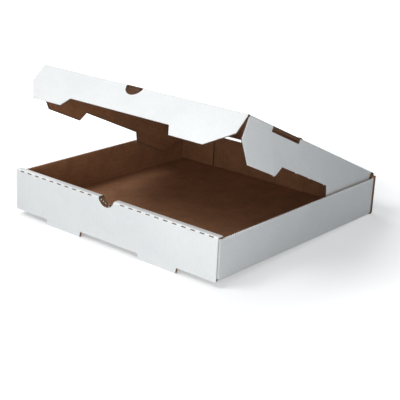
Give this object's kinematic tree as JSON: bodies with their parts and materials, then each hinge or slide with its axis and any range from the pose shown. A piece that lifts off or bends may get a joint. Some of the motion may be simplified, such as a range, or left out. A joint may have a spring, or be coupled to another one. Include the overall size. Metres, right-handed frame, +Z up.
{
  "type": "pizza box",
  "caption": "Corrugated pizza box, white outside and brown inside, with a rolled front wall, floor locks, finger notch and a part-open hinged lid with three tuck flaps.",
  "frame": {"origin": "under the middle of the tray, level with the soles of the two feet of the front wall", "axes": "+X to the right along the front wall, +Y from the front wall to the rear crease of the lid, +Z up"},
  "size_m": [0.312, 0.312, 0.1792],
  "materials": {
    "white_board": "clay coated white liner on the outside of corrugated board",
    "brown_board": "uncoated brown kraft liner and fluting, on the inside and at the cut edges"
  },
  "bodies": {
    "tray": {"tray": "white_board"},
    "lid": {"lid_panel": "white_board"},
    "front_flap": {"lid_front_flap": "white_board"},
    "right_flap": {"lid_right_flap": "white_board"},
    "left_flap": {"lid_left_flap": "white_board"}
  },
  "joints": [
    {"name": "lid_crease", "type": "hinge", "parent": "tray", "child": "lid", "pos_m": [0, 0.1545, 0.0578], "axis": [-1, 0, 0], "range_deg": [-17.2, 155.8]},
    {"name": "front_flap_crease", "type": "hinge", "parent": "lid", "child": "front_flap", "pos_m": [0, -0.11239, 0.17774], "axis": [1, 0, 0], "range_deg": [-64, 26]},
    {"name": "right_flap_crease", "type": "hinge", "parent": "lid", "child": "right_flap", "pos_m": [0.1512, 0.02106, 0.11777], "axis": [0, 0.9121, -0.4099], "range_deg": [-1, 29]},
    {"name": "left_flap_crease", "type": "hinge", "parent": "lid", "child": "left_flap", "pos_m": [-0.1512, 0.02106, 0.11777], "axis": [0, -0.9121, 0.4099], "range_deg": [-0.6, 29.4]}
  ]
}
